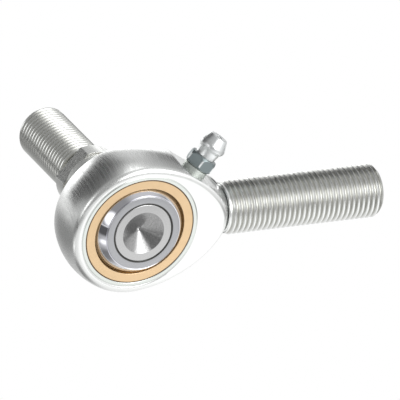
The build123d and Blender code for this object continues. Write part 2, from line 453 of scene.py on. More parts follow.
class Wiring:
    """Short calls for placing and linking the nodes of one tree."""

    def __init__(self, tree):
        self.tree = tree

    def node(self, kind, inputs=None, **settings):
        """Place a node, with its settings, and its inputs by name or number."""
        made = self.tree.nodes.new(kind)
        for key, value in settings.items():
            setattr(made, key, value)
        for key, value in (inputs or {}).items():
            self.feed(made.inputs[key], value)
        return made

    def feed(self, socket, value):
        """Link a socket to another, or set a constant on it."""
        if isinstance(value, bpy.types.NodeSocket):
            self.tree.links.new(value, socket)
        else:
            socket.default_value = value

    def math(self, operation, *values):
        return self.node("ShaderNodeMath", dict(enumerate(values)), operation=operation).outputs[0]

    def add(self, first, second):
        return self.math("ADD", first, second)

    def less(self, first, second):
        return self.math("SUBTRACT", first, second)

    def times(self, first, second):
        return self.math("MULTIPLY", first, second)

    def span(self, value, from_low, from_high, to_low=0.0, to_high=1.0, kind="SMOOTHSTEP"):
        """Map one range of a value to another, which is 0 to 1 unless given."""
        limits = dict(enumerate((value, from_low, from_high, to_low, to_high)))
        return self.node("ShaderNodeMapRange", limits, interpolation_type=kind).outputs[0]

    def blend(self, share, low, high):
        """Mix two colours, each a socket or linear red, green and blue."""
        inputs = {"Factor": share}
        for slot, colour in ((6, low), (7, high)):
            inputs[slot] = colour if isinstance(colour, bpy.types.NodeSocket) else (*colour, 1.0)
        return self.node("ShaderNodeMix", inputs, data_type="RGBA").outputs[2]

    def noise(self, vector, scale, detail, roughness=0.5):
        inputs = {"Vector": vector, "Scale": scale, "Detail": detail, "Roughness": roughness}
        return self.node("ShaderNodeTexNoise", inputs).outputs[0]

    def finish_mesh(self, geometry, material):
        """End a geometry tree with real faces in one material."""
        real = self.node("GeometryNodeRealizeInstances", {0: geometry}).outputs[0]
        inputs = {"Geometry": real, "Material": material}
        painted = self.node("GeometryNodeSetMaterial", inputs).outputs[0]
        self.node("NodeGroupOutput", {0: painted})


def node_tree(name, kind, inputs, outputs):
    """A tree with named sockets, each given by its kind or, if a number, by its default."""
    tree = bpy.data.node_groups.new(name, kind)
    for way, sockets in (("INPUT", inputs), ("OUTPUT", outputs)):
        for label, given in sockets.items():
            sort = given if isinstance(given, str) else "Float"
            socket_type = "NodeSocket" + sort
            socket = tree.interface.new_socket(name=label, in_out=way, socket_type=socket_type)
            if given != sort:
                socket.default_value = given
    w = Wiring(tree)
    return w, w.node("NodeGroupInput").outputs


# Half the flat of a crest, the depth of the thread and the width of a flank, as shares
# of the pitch.
CREST_HALF_WIDTH = 1 / 16
THREAD_DEPTH_SHARE = 0.6134
FLANK_WIDTH = THREAD_DEPTH_SHARE * tan(radians(30))


def thread_tree():
    """Geometry nodes for a right-handed thread along Z, from its relief to its chamfered tip."""
    lengths = ("Start", "End", "Radius", "Depth", "Pitch", "Relief Radius", "Run In", "Tip Chamfer")
    inputs = {"Geometry": "Geometry", **dict.fromkeys(lengths, "Float")}
    inputs.update(Segments="Int", Rows="Int", Material="Material")
    w, given = node_tree("helical_thread", "GeometryNodeTree", inputs, {"Geometry": "Geometry"})

    # A grid that is one turn longer than the thread, so that its rows can follow the helix.
    length = w.less(given["End"], given["Start"])
    turns = w.math("CEIL", w.add(w.math("DIVIDE", length, given["Pitch"]), 1.0))
    grid_length = w.times(turns, given["Pitch"])
    grid_sizes = {
        "Size X": 1.0,
        "Size Y": grid_length,
        "Vertices X": w.add(given["Segments"], 1.0),
        "Vertices Y": w.add(w.times(turns, given["Rows"]), 1.0),
    }
    grid = w.node("GeometryNodeMeshGrid", grid_sizes).outputs["Mesh"]

    position = w.node("GeometryNodeInputPosition").outputs[0]
    place = w.node("ShaderNodeSeparateXYZ", {0: position}).outputs
    turn = w.add(place[0], 0.5)
    run = w.add(place[1], w.times(grid_length, 0.5))
    rise = w.times(w.less(turn, 1.0), given["Pitch"])
    helix = w.add(w.add(given["Start"], rise), run)
    along = w.math("MINIMUM", w.math("MAXIMUM", helix, given["Start"]), given["End"])

    # The thread's own profile: a narrow crest, straight flanks and a flat root.
    phase = w.math("FRACT", w.math("DIVIDE", run, given["Pitch"]))
    from_crest = w.math("ABSOLUTE", w.less(phase, 0.5))
    drop = w.span(from_crest, CREST_HALF_WIDTH, CREST_HALF_WIDTH + FLANK_WIDTH, kind="LINEAR")
    cut_radius = w.less(given["Radius"], w.times(drop, given["Depth"]))

    # It rises out of the relief at one end and is chamfered off at the other.
    from_start = w.less(along, given["Start"])
    risen = w.span(w.math("DIVIDE", from_start, given["Run In"]), 0.0, 1.0)
    thread_height = w.less(cut_radius, given["Relief Radius"])
    raised = w.math("MULTIPLY_ADD", thread_height, risen, given["Relief Radius"])
    tip_radius = w.less(given["Radius"], given["Tip Chamfer"])
    chamfer = w.add(tip_radius, w.less(given["End"], along))
    radius = w.math("MINIMUM", raised, chamfer)

    angle = w.times(turn, 2 * pi)
    x = w.times(radius, w.math("COSINE", angle))
    y = w.times(radius, w.math("SINE", angle))
    point = w.node("ShaderNodeCombineXYZ", {0: x, 1: y, 2: along}).outputs[0]
    moved = w.node("GeometryNodeSetPosition", {"Geometry": grid, "Position": point}).outputs[0]
    inputs = {"Geometry": moved, "Distance": WELD_DISTANCE}
    w.finish_mesh(w.node("GeometryNodeMergeByDistance", inputs).outputs[0], given["Material"])
    return w.tree


def add_thread(bm, placement, thread, start, end, relief_radius, material):
    """Run the thread nodes and add their mesh to bm, where placement says, with a closed tip."""
    values = {
        "Start": start,
        "End": end,
        "Radius": THREAD_RADIUS,
        "Depth": thread.depth,
        "Pitch": thread.pitch,
        "Relief Radius": relief_radius,
        "Run In": thread.run_in,
        "Tip Chamfer": THREAD_CHAMFER,
        "Segments": thread.segments,
        "Rows": thread.rows,
        "Material": material,
    }
    tree = bpy.data.node_groups.get("helical_thread") or thread_tree()
    absorb(bm, run_nodes(tree, values), placement)
    cap = bmesh.new()
    turned(cap, [(THREAD_RADIUS - THREAD_CHAMFER, end), (0, end)], thread.segments)
    cap_mesh = bpy.data.meshes.new("thread_tip")
    cap.to_mesh(cap_mesh)
    cap.free()
    absorb(bm, cap_mesh, placement)


# ----------------------------------------------------------------------- housing


class EyeShape:
    """The eye's and neck's outline, followed by the angle of its normal, and its rounded faces."""

    def __init__(self, settings):
        self.swell = settings.swell_angle
        self.neck_radius = settings.swell_radius
        self.half_width = settings.half_width
        self.rounding = settings.edge_rounding
        offset = self.neck_radius - EYE_RADIUS
        self.centre_x = -offset * cos(self.swell)
        self.centre_r = -offset * sin(self.swell)

    def outline(self, normal):
        """(x, radius) where the outline's normal has this angle from the shank axis."""
        if normal >= self.swell:
            return EYE_RADIUS * cos(normal), EYE_RADIUS * sin(normal)
        x = self.centre_x + self.neck_radius * cos(normal)
        return x, self.centre_r + self.neck_radius * sin(normal)

    def normal_at_radius(self, radius):
        """Angle of the neck's normal where it has come down to a radius."""
        return asin((radius - self.centre_r) / self.neck_radius)

    def face_end(self):
        """Angle of the normal where the two rounded faces run out on the neck."""
        inset = self.half_width - self.rounding
        return asin((inset - self.centre_r) / (self.neck_radius - self.rounding))

    def section(self, normal):
        """Centre (x, z) of the edge rounding, and how far round the bar it touches."""
        x, radius = self.outline(normal)
        inner = radius - self.rounding * sin(normal)
        lean = asin(min(1.0, (self.half_width - self.rounding) / inner))
        return x - self.rounding * cos(normal), inner * cos(lean), lean


def eye_rows(eye, settings, columns):
    """For each station round the eye: the barrel's points, and the rounding's on each side."""
    quarter = pi / 2
    end = eye.face_end()
    shares = [i / settings.neck_steps for i in range(settings.neck_steps + 1)]
    neck = [end + (quarter - end) * share**2 for share in shares]

    def station(normal, turn):
        """One cross-section; turn swings the section at the top of the eye round the back."""
        x, radius = eye.outline(normal)
        centre_x, centre_z, lean = eye.section(normal)
        swing = Matrix.Rotation(-turn, 3, "Y")
        barrel = []
        for k in range(columns + 1):
            angle = lean * (2 * k / columns - 1)
            barrel.append(swing @ Vector((x, radius * sin(angle), radius * cos(angle))))
        sides = []
        for side in (-1, 1):
            centre = Vector((centre_x, side * (eye.half_width - eye.rounding), centre_z))
            start = Vector((cos(normal), side * sin(normal) * sin(lean), sin(normal) * cos(lean)))
            face = Vector((0, side, 0))
            arms = [start.slerp(face, s / ARC_STEPS) for s in range(ARC_STEPS + 1)]
            sides.append([swing @ (centre + arm * eye.rounding) for arm in arms])
        return barrel, sides

    def below(row):
        """The same section mirrored under the shank axis."""
        barrel, sides = row
        flip = Vector((1, 1, -1))
        return [p * flip for p in barrel], [[p * flip for p in arc] for arc in sides]

    upper = [station(normal, 0) for normal in neck]
    turns = [pi * i / settings.back_steps for i in range(1, settings.back_steps)]
    back = [station(quarter, turn) for turn in turns]
    lower = [below(row) for row in reversed(upper)]
    return upper + back + lower


def bore_profile(settings, bearing):
    """(radius, y) down the housing bore, from the front face's staked ring to the rear one."""
    mouth = RACE_OUTER_RADIUS - bearing.race_chamfer
    shoulder = RACE_HALF_WIDTH - bearing.race_chamfer
    groove = mouth + settings.ring_width
    deep = settings.ring_depth
    rounding = settings.lip_rounding
    face = -settings.half_width
    ring_face = face + SLIVER
    front = [
        (groove + 2 * deep, face, 0),
        (groove, face + deep, deep / 2),
        (groove - 2 * deep, ring_face, rounding),
        (mouth, ring_face, rounding),
        (mouth, -RACE_HALF_WIDTH + 2 * SLIVER, 0),
        (RACE_OUTER_RADIUS, -shoulder, 0),
    ]
    rear = [(r, -y, corner) for r, y, corner in reversed(front)]
    return soften(front) + soften(rear)


def add_eye(bm, rows, profile):
    """The barrel, the edge roundings, the milled faces and the bore, all on the same stations."""
    join_grid(bm, [[bm.verts.new(p) for p in barrel] for barrel, _ in rows])
    bore = []
    edges = []
    for _, sides in rows:
        edges.append([[bm.verts.new(p) for p in arc] for arc in sides])
        toward = sides[0][-1]
        angle = atan2(toward.z, toward.x)
        bore.append([bm.verts.new((r * cos(angle), y, r * sin(angle))) for r, y in profile])
    for side in (0, 1):
        join_grid(bm, [arcs[side] for arcs in edges])
    join_grid(bm, bore)
    for i in range(len(rows) - 1):
        for side, mouth in ((0, 0), (1, -1)):
            outer = (edges[i][side][-1], edges[i + 1][side][-1])
            bm.faces.new(outer + (bore[i + 1][mouth], bore[i][mouth]))


def add_neck(bm, eye, settings, segments, placement):
    """The round neck below the faces, down to its relief, and where the relief ends."""
    start = eye.face_end()
    step = (eye.normal_at_radius(settings.relief_radius) - start) / NECK_ROWS
    neck = [eye.outline(start + step * i) for i in range(NECK_ROWS + 1)]
    relief_end = SHANK_THREAD_START - THREAD_CHAMFER
    relief = soften(
        [
            (*neck[-2], 0),
            (neck[-1][0], settings.relief_radius, settings.relief_rounding),
            (relief_end, settings.relief_radius, 0),
        ]
    )
    outline = [Vector(p) for p in neck[:-2]] + relief
    rings = [round_ring(bm, r, x, segments) for x, r in outline]
    for ring in rings:
        for vertex in ring:
            vertex.co = placement @ vertex.co
    for low, high in zip(rings, rings[1:]):
        join_rings(bm, low, high)
    return relief_end


def nipple_seat(nipple):
    """The point on the neck that the nipple stands on."""
    return NIPPLE_TOP - NIPPLE_AXIS * nipple.height


def build_housing(settings, bearing, nipple, thread, material):
    eye = EyeShape(settings)
    placement = frame_matrix(Vector(), SHANK_AXIS, BORE_AXIS)
    rows = eye_rows(eye, settings, thread.segments // 2)
    bm = bmesh.new()
    add_eye(bm, rows, bore_profile(settings, bearing))
    relief_end = add_neck(bm, eye, settings, thread.segments, placement)
    add_thread(bm, placement, thread, relief_end, SHANK_TIP, settings.relief_radius, material)
    weld(bm)
    piece = make_object("rod_end_housing", bm)

    # The spot face, the tapped hole and the grease passage for the nipple.
    hole = nipple.thread_radius + nipple.hole_gap
    profile = [
        (0, -EYE_RADIUS / 2, 0),
        (nipple.passage_radius, -EYE_RADIUS / 2, 0),
        (nipple.passage_radius, -nipple.thread_length, 0),
        (hole, -nipple.thread_length, 0),
        (hole, 0, 0),
        (nipple.seat_radius, 0, nipple.edge_rounding * 3),
        (nipple.seat_radius, EYE_RADIUS, 0),
        (0, EYE_RADIUS, 0),
    ]
    tool = bmesh.new()
    turned(tool, soften(profile), thread.segments)
    bmesh.ops.recalc_face_normals(tool, faces=tool.faces)
    cutter = make_object("seat_tool", tool)
    cutter.data.transform(frame_matrix(nipple_seat(nipple), NIPPLE_AXIS, BORE_AXIS))
    cut(piece, cutter)
    in_place = Matrix.Identity(4)
    finish_piece(piece, in_place, 38, material, "housing", "rod_end_body")


# ----------------------------------------------------------------- race and ball


def arc_points(radius, low, high, steps):
    """Points on a circle about the origin, from one angle to another."""
    angles = [low + (high - low) * i / steps for i in range(steps + 1)]
    return [Vector((radius * cos(angle), radius * sin(angle))) for angle in angles]


STUD_PLACEMENT = frame_matrix(Vector(), STUD_AXIS, SHANK_AXIS)


def build_race(side, settings, thread, material):
    """One bronze insert: side -1 is the riveted side, +1 the thread side."""
    outer = RACE_OUTER_RADIUS
    inner = BALL_RADIUS + settings.running_gap
    mouth = settings.race_mouth
    rounding = settings.race_rounding
    corners = [
        (mouth, RACE_HALF_WIDTH, rounding),
        (outer - settings.race_chamfer, RACE_HALF_WIDTH, rounding),
        (outer, RACE_HALF_WIDTH - settings.race_chamfer, 0),
        (outer, RACE_INNER_END, rounding),
    ]
    # The mating surface follows the ball from the middle out to the foot of the counterbore.
    low = asin(RACE_INNER_END / inner)
    high = acos((mouth - rounding) / inner)
    outline = soften(corners, closed=True) + arc_points(inner, low, high, 24)
    bm = bmesh.new()
    turned(bm, outline, 2 * thread.segments, closed=True)
    weld(bm)
    node = "race_insert_front" if side < 0 else "race_insert_rear"
    piece = make_object(node + "_finish", bm)
    placement = frame_matrix(Vector(), BORE_AXIS * side, SHANK_AXIS)
    finish_piece(piece, placement, 50, material, "housing", node)


def build_ball(settings, stud, thread, material):
    half = settings.ball_half_width
    flat_radius = sqrt(BALL_RADIUS**2 - half**2)
    rim = stud.rim_radius + RIVET_GAP
    body = THREAD_RADIUS + RIVET_GAP
    rounding = settings.ball_rounding
    corners = [
        (flat_radius, half, rounding),
        (body, half, settings.bore_rounding),
        (body, -half + stud.rim_depth, 0),
        (rim, -half + settings.bore_rounding * 2, 0),
        (rim, -half, settings.bore_rounding),
        (flat_radius, -half, rounding),
    ]
    limit = asin(half / BALL_RADIUS) - rounding / BALL_RADIUS
    outline = soften(corners, closed=True) + arc_points(BALL_RADIUS, -limit, limit, 64)
    bm = bmesh.new()
    turned(bm, outline, 2 * thread.segments, closed=True)
    weld(bm)
    piece = make_object("swivel_ball", bm)
    finish_piece(piece, STUD_PLACEMENT, 50, material, "ball", "ball")


# -------------------------------------------------------------------------- stud


def wrench_tool(side, settings):
    """The block that is cut away beside one of the stud's wrench flats."""
    reach = settings.collar_radius
    length = COLLAR_END - settings.collar_start
    tool = bmesh.new()
    bmesh.ops.create_cube(tool, size=1)
    bmesh.ops.scale(tool, verts=tool.verts, vec=(reach, 3 * reach, length + 2 * SLIVER))
    across = side * (settings.wrench_width + reach) / 2
    shift = Vector((across, 0, settings.collar_start + length / 2))
    bmesh.ops.translate(tool, verts=tool.verts, vec=shift)
    flat = make_object("wrench_tool", tool)
    flat.data.transform(Matrix.Rotation(settings.wrench_angle, 4, "Z"))
    return flat


def build_stud(settings, bearing, thread, material):
    front = -bearing.ball_half_width
    slope = tan(settings.cone_angle / 2)
    cone_foot = front + (settings.cone_radius - settings.dimple_radius) / slope
    shoulder = bearing.ball_half_width + RIVET_GAP
    edge = settings.seat_rounding
    relief = THREAD_RADIUS - thread.depth
    thread_start = COLLAR_END + thread.pitch / 2
    corners = [
        (0, cone_foot + settings.dimple_depth, 0),
        (settings.dimple_radius, cone_foot, edge / 2),
        (settings.cone_radius, front, edge / 2),
        (settings.rim_radius, front, edge),
        (settings.rim_radius, front + 2 * edge, 0),
        (THREAD_RADIUS, front + settings.rim_depth, 0),
        (THREAD_RADIUS, shoulder, 0),
        (settings.shoulder_radius, shoulder, edge / 2),
        (settings.shoulder_radius, shoulder + settings.shoulder_length / 2, edge / 2),
        (THREAD_RADIUS, shoulder + settings.shoulder_length, edge),
        (settings.neck_radius, settings.collar_start, edge / 2),
        (settings.collar_radius, settings.collar_start, edge / 2),
        (settings.collar_radius, COLLAR_END, edge),
        (relief, COLLAR_END, edge / 2),
        (relief, thread_start, 0),
    ]
    bm = bmesh.new()
    turned(bm, soften(corners), thread.segments)
    add_thread(bm, Matrix.Identity(4), thread, thread_start, STUD_TIP, relief, material)
    weld(bm)
    piece = make_object("ball_stud", bm)
    cut(piece, wrench_tool(-1, settings), wrench_tool(1, settings))
    finish_piece(piece, STUD_PLACEMENT, 38, material, "stud", "stud")


# ---------------------------------------------------------------- grease nipple


def hexagon_radius(angle, width):
    """Distance from the middle to a hexagon's edge, with a corner at 30 degrees."""
    return width / 2 / cos((angle - pi / 6) % (pi / 3) - pi / 6)


def build_nipple(settings, thread, material):
    hex_start = settings.collar_height + settings.groove_height
    hex_end = hex_start + settings.hex_height
    waist_end = hex_end + settings.waist_height
    head_start = waist_end + settings.head_cone
    dome_start = head_start + settings.head_land
    edge = settings.edge_rounding
    orifice_foot = settings.height - settings.orifice_length
    chamber_top = orifice_foot - (settings.chamber_radius - settings.orifice_radius)
    floor = settings.chamber_floor - settings.thread_length

    lower = soften(
        [
            (settings.inlet_radius, -settings.thread_length, 0),
            (settings.thread_radius, -settings.thread_length, 3 * edge),
            (settings.thread_radius, settings.collar_height, edge),
            (settings.groove_radius, settings.collar_height, edge / 2),
            (settings.groove_radius, hex_start, 0),
        ]
    )
    upper = soften(
        [
            (settings.waist_radius, hex_end, 0),
            (settings.waist_radius, waist_end, edge * 4),
            (settings.throat_radius, head_start - settings.head_flare, edge * 4),
            (settings.head_radius, head_start, edge * 4),
            (settings.head_radius, dome_start, edge * 6),
            (settings.top_radius, settings.height, edge * 2),
            (settings.orifice_radius, settings.height, edge),
            (settings.orifice_radius, orifice_foot, edge / 2),
            (settings.chamber_radius, chamber_top, 0),
            (settings.chamber_radius, floor, edge),
            (settings.inlet_radius, floor, edge),
            (settings.inlet_radius, -settings.thread_length, 0),
        ]
    )

    # The hexagon's corners are turned back to a cone, longer above than below.
    flat_radius = settings.hex_width / 2
    corner_radius = settings.hex_width / sqrt(3)
    bevel = corner_radius - flat_radius
    shares = [i / HEX_STEPS for i in range(HEX_STEPS + 1)]
    trims = [(s * bevel * HEX_SLOPE_BELOW, flat_radius + bevel * s) for s in shares]
    for s in shares:
        rise = settings.hex_height - HEX_SLOPE_ABOVE * bevel * (1 - s)
        trims.append((rise, corner_radius - bevel * s))

    bm = bmesh.new()
    rings = [round_ring(bm, r, z, thread.segments) for r, z in lower]
    for rise, trim in trims:
        def trimmed(angle):
            return min(trim, hexagon_radius(angle, settings.hex_width))
        rings.append(round_ring(bm, trimmed, hex_start + rise, thread.segments))
    rings += [round_ring(bm, r, z, thread.segments) for r, z in upper]
    for low, high in zip(rings, rings[1:]):
        join_rings(bm, low, high)
    weld(bm)
    piece = make_object("grease_nipple", bm)
    placement = frame_matrix(nipple_seat(settings), NIPPLE_AXIS, BORE_AXIS)
    finish_piece(piece, placement, 35, material, "housing", "nipple_body")


def spring_tree():
    """Geometry nodes for an open coil spring along Z."""
    inputs = {"Geometry": "Geometry"}
    inputs.update(dict.fromkeys(("Turns", "Coil Radius", "Wire Radius", "Height"), "Float"))
    inputs["Material"] = "Material"
    w, given = node_tree("coil_spring", "GeometryNodeTree", inputs, {"Geometry": "Geometry"})
    coil_sizes = {
        "Resolution": 40,
        "Rotations": given["Turns"],
        "Start Radius": given["Coil Radius"],
        "End Radius": given["Coil Radius"],
        "Height": given["Height"],
    }
    coil = w.node("GeometryNodeCurveSpiral", coil_sizes).outputs[0]
    wire_sizes = {"Resolution": 12, "Radius": given["Wire Radius"]}
    wire = w.node("GeometryNodeCurvePrimitiveCircle", wire_sizes).outputs[0]
    inputs = {"Curve": coil, "Profile Curve": wire, "Fill Caps": True}
    drawn = w.node("GeometryNodeCurveToMesh", inputs).outputs[0]
    w.finish_mesh(drawn, given["Material"])
    return w.tree


def build_spring(settings, material):
    """The spring under the check ball, built to reach the ball where it sits now; the real spring
    shortens as the ball is pushed in.
    """
    low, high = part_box("nipple_check_ball")
    ball_radius = (high.y - low.y) / 2
    seat = nipple_seat(settings)
    ball_height = ((low + high) / 2 - seat).dot(NIPPLE_AXIS)
    floor = settings.chamber_floor - settings.thread_length
    clear = settings.wire_radius + settings.hole_gap
    foot = floor + clear
    top = ball_height - sqrt((ball_radius + clear) ** 2 - settings.coil_radius**2)
    values = {
        "Turns": settings.spring_turns,
        "Coil Radius": settings.coil_radius,
        "Wire Radius": settings.wire_radius,
        "Height": top - foot,
        "Material": material,
    }
    bm = bmesh.new()
    absorb(bm, run_nodes(spring_tree(), values), Matrix.Translation((0, 0, foot)))
    weld(bm)
    piece = make_object("check_spring", bm)
    placement = frame_matrix(seat, NIPPLE_AXIS, BORE_AXIS)
    finish_piece(piece, placement, 50, material, "housing", "nipple_spring")
    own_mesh(piece)


# --------------------------------------------------------------------- materials


# How much rougher the plate is down in a thread.
ROOT_DULLNESS = 0.1


def shade(colour, share):
    """A colour at a share of its brightness."""
    return [channel * share for channel in colour]


def turning_marks():
    """Shader group: fine rings round the Z axis of the vector that it is given, in millimetres."""
    if "turning_marks" in bpy.data.node_groups:
        return bpy.data.node_groups["turning_marks"]
    inputs = {"Vector": "Vector", "Fineness": 6.0, "Facing": 1.0, "Breakup": 0.6}
    outputs = dict.fromkeys(("Marks", "Radius", "Along"), "Float")
    w, given = node_tree("turning_marks", "ShaderNodeTree", inputs, outputs)
    x, y, z = w.node("ShaderNodeSeparateXYZ", {0: given["Vector"]}).outputs
    radius = w.math("SQRT", w.add(w.times(x, x), w.times(y, y)))
    outward = w.times(radius, given["Facing"])
    around = w.times(w.math("ARCTAN2", y, x), given["Breakup"])
    rings = w.node("ShaderNodeCombineXYZ", {0: outward, 1: around, 2: z}).outputs[0]
    marks = w.noise(rings, given["Fineness"], detail=4.0, roughness=0.7)
    w.node("NodeGroupOutput", {"Marks": marks, "Radius": radius, "Along": z})
    return w.tree


def plating():
    """Shader group: the soft clouding and the fine grain of a plated surface."""
    if "plating" in bpy.data.node_groups:
        return bpy.data.node_groups["plating"]
    inputs = {"Vector": "Vector", "Cloud Scale": 0.25, "Grain Scale": 4.0}
    outputs = {"Clouds": "Float", "Grain": "Float"}
    w, given = node_tree("plating", "ShaderNodeTree", inputs, outputs)
    clouds = w.noise(given["Vector"], given["Cloud Scale"], detail=2.0)
    grain = w.noise(given["Vector"], given["Grain Scale"], detail=5.0, roughness=0.65)
    w.node("NodeGroupOutput", {"Clouds": clouds, "Grain": grain})
    return w.tree


class Finish:
    """One metal finish being made: its shader, with its patterns in the piece's own frame."""

    def __init__(self, name, origin, axis, across):
        self.material = bpy.data.materials.new(name)
        self.material.use_nodes = True
        tree = self.material.node_tree
        self.w = Wiring(tree)
        self.shader = tree.nodes["Principled BSDF"]
        self.coords = self.w.node("ShaderNodeTexCoord").outputs["Object"]
        self.vector = self.in_frame(origin, axis, across)

    def in_frame(self, origin, axis, across):
        """The point being shaded, in millimetres, in the frame of a turned piece."""
        placement = frame_matrix(origin, axis, across).inverted()
        inputs = {
            "Vector": self.coords,
            "Rotation": placement.to_euler(),
            "Location": placement.to_translation() / MM,
            "Scale": (1 / MM,) * 3,
        }
        return self.w.node("ShaderNodeMapping", inputs, vector_type="POINT").outputs[0]

    def group(self, tree, vector=None, **values):
        """Place a shader group on this finish's vector or another, with its values by name."""
        inputs = {name.replace("_", " ").title(): value for name, value in values.items()}
        inputs["Vector"] = vector or self.vector
        return self.w.node("ShaderNodeGroup", inputs, node_tree=tree).outputs

    def thread_root(self, turn, thread, low, high):
        """In the thread, which begins between two heights, and down at its root: 0 to 1 each."""
        root = (THREAD_RADIUS - thread.depth) / MM
        in_thread = self.w.span(turn["Along"], low, high)
        raised = self.w.span(turn["Radius"], root, THREAD_RADIUS / MM)
        return in_thread, self.w.times(self.w.less(1.0, raised), in_thread)

    def done(self, colour, roughness, height, depth, strength=0.5):
        """The finished metal, with marks of this depth in millimetres."""
        inputs = {"Height": height, "Distance": MM * depth, "Strength": strength}
        bump = self.w.node("ShaderNodeBump", inputs).outputs[0]
        values = {"Base Color": colour, "Roughness": roughness, "Normal": bump, "Metallic": 1.0}
        for name, value in values.items():
            self.w.feed(self.shader.inputs[name], value)
        return self.material


def zinc_finish(settings, bearing, thread):
    """Bright zinc on steel: rings about the shank, and about the bore on the milled faces."""
    f = Finish("bright_zinc_plate", Vector(), SHANK_AXIS, BORE_AXIS)
    w = f.w
    lathe = f.group(turning_marks(), fineness=4.5, facing=0.1, breakup=0.35)
    about_bore = f.in_frame(Vector(), BORE_AXIS, SHANK_AXIS)
    mill = f.group(turning_marks(), about_bore, fineness=5.0, facing=1.0, breakup=0.3)
    plate = f.group(plating())
    half = settings.half_width / MM
    on_face = w.span(w.math("ABSOLUTE", mill["Along"]), half - 0.35, half - 0.25)
    lathe_marks = w.times(lathe["Marks"], w.less(1.0, on_face))
    mill_marks = w.times(w.times(mill["Marks"], on_face), 0.5)
    marks = w.add(lathe_marks, mill_marks)
    start = SHANK_THREAD_START / MM
    _, root_shade_and_dullness = f.thread_root(lathe, thread, start - 1.0, start)

    light = w.blend(plate["Clouds"], shade(settings.zinc, 0.94), settings.zinc)
    mouth = (RACE_OUTER_RADIUS - bearing.race_chamfer + settings.ring_width) / MM
    on_ring = w.times(on_face, w.span(mill["Radius"], mouth, mouth - 0.2))
    light = w.blend(on_ring, light, settings.staked)
    dull = w.span(marks, 0.4, 0.7, 0.0, 0.25)
    streaked = w.blend(dull, light, shade(settings.zinc, 0.72))
    # Painted shade: the plate is coloured darker down at the thread roots.
    colour = w.blend(root_shade_and_dullness, streaked, settings.root)
    rough = w.math("MULTIPLY_ADD", root_shade_and_dullness, ROOT_DULLNESS, w.span(marks, 0.3, 0.75, 0.22, 0.38))
    height = w.add(marks, w.times(plate["Grain"], 0.15))
    return f.done(colour, rough, height, 0.007, 0.6)


def bronze_finish(settings):
    """Machined bearing bronze, with painted shade at its two edges: in the seam under the staked
    lip, and off the face on the counterbore's wall.
    """
    f = Finish("bearing_bronze", Vector(), BORE_AXIS, SHANK_AXIS)
    w = f.w
    turn = f.group(turning_marks(), fineness=7.0, breakup=0.3)
    plate = f.group(plating(), cloud_scale=0.5)
    # Painted shade: the race's face darkens towards its outer edge, in the seam under the staked
    # lip.
    outer = (RACE_OUTER_RADIUS - settings.race_chamfer) / MM
    shaded = w.span(turn["Radius"], outer - 0.34, outer - 0.12)
    tone = w.blend(plate["Clouds"], shade(settings.bronze, 0.9), settings.bronze)
    # Painted shade: off the face, on the counterbore's wall, the bronze is painted darker.
    face = RACE_HALF_WIDTH / MM
    on_face = w.span(w.math("ABSOLUTE", turn["Along"]), face - 0.3, face - 0.1)
    tone = w.blend(on_face, settings.counterbore_shade, tone)
    colour = w.blend(shaded, tone, settings.seam)
    rough = w.span(turn["Marks"], 0.3, 0.7, 0.34, 0.46)
    return f.done(colour, rough, turn["Marks"], 0.012)


def chrome_finish(settings, stud):
    """Polished sphere; the flats are ground, with fine rings about the stud and painted shade in
    the gap at its rim.
    """
    f = Finish("hard_chrome", Vector(), STUD_AXIS, SHANK_AXIS)
    w = f.w
    turn = f.group(turning_marks(), fineness=9.0, breakup=0.2)
    edge = settings.ball_half_width / MM
    on_flat = w.span(w.math("ABSOLUTE", turn["Along"]), edge - 0.12, edge - 0.03)
    rim = stud.rim_radius / MM
    # Painted shade: the ground flat darkens towards the gap round the riveted rim.
    shaded = w.span(turn["Radius"], rim + 0.5, rim + 0.26)
    flat = w.blend(shaded, settings.ground, settings.rivet_gap_shade)
    colour = w.blend(on_flat, settings.chrome, flat)
    rough = w.math("MULTIPLY_ADD", on_flat, 0.27, 0.07)
    return f.done(colour, rough, w.times(turn["Marks"], on_flat), 0.012)


def stud_finish(settings, bearing, thread):
    """Plated stud: rings about its axis, painted shade down in the thread, bare steel at the
    riveted end.
    """
    f = Finish("plated_stud", Vector(), STUD_AXIS, SHANK_AXIS)
    w = f.w
    turn = f.group(turning_marks(), fineness=5.0, breakup=0.4)
    plate = f.group(plating(), grain_scale=6.0)
    thread_start = COLLAR_END / MM
    in_thread, root_shade_and_dullness = f.thread_root(turn, thread, thread_start, thread_start + 0.2)
    tone = w.blend(plate["Clouds"], shade(settings.steel, 0.9), settings.steel)
    # Painted shade: the plate is coloured darker down at the thread roots.
    tone = w.blend(root_shade_and_dullness, tone, settings.root)

    # The riveted end is bare, and its cone is mottled by the punch.
    front = -bearing.ball_half_width / MM
    bare = w.span(turn["Along"], front + 4.0, front + 3.5)
    mottled = w.span(plate["Grain"], 0.4, 0.62)
    pressed = w.blend(mottled, shade(settings.bare, 0.5), shade(settings.bare, 0.85))
    cone = settings.cone_radius / MM
    in_cone = w.span(turn["Radius"], cone + 0.05, cone - 0.1)
    colour = w.blend(bare, tone, w.blend(in_cone, settings.bare, pressed))

    # The neck and the collar are plainer than the thread, the neck duller and the collar darker.
    neck = (bearing.ball_half_width + settings.shoulder_length) / MM
    collar = settings.collar_start / MM
    plain = w.times(w.span(turn["Along"], neck, neck + 0.3), w.less(1.0, in_thread))
    in_collar = w.times(plain, w.span(turn["Along"], collar - 0.1, collar))
    colour = w.blend(in_collar, colour, shade(settings.steel, 0.8))
    rough = w.span(turn["Marks"], 0.3, 0.75, 0.15, 0.27)
    rough = w.math("MULTIPLY_ADD", root_shade_and_dullness, ROOT_DULLNESS, rough)
    rough = w.math("MULTIPLY_ADD", w.less(plain, in_collar), 0.35, rough)
    height = w.add(turn["Marks"], w.times(plate["Grain"], 0.1))
    height = w.times(height, w.math("MULTIPLY_ADD", plain, -0.85, 1.0))
    return f.done(colour, rough, height, 0.008)


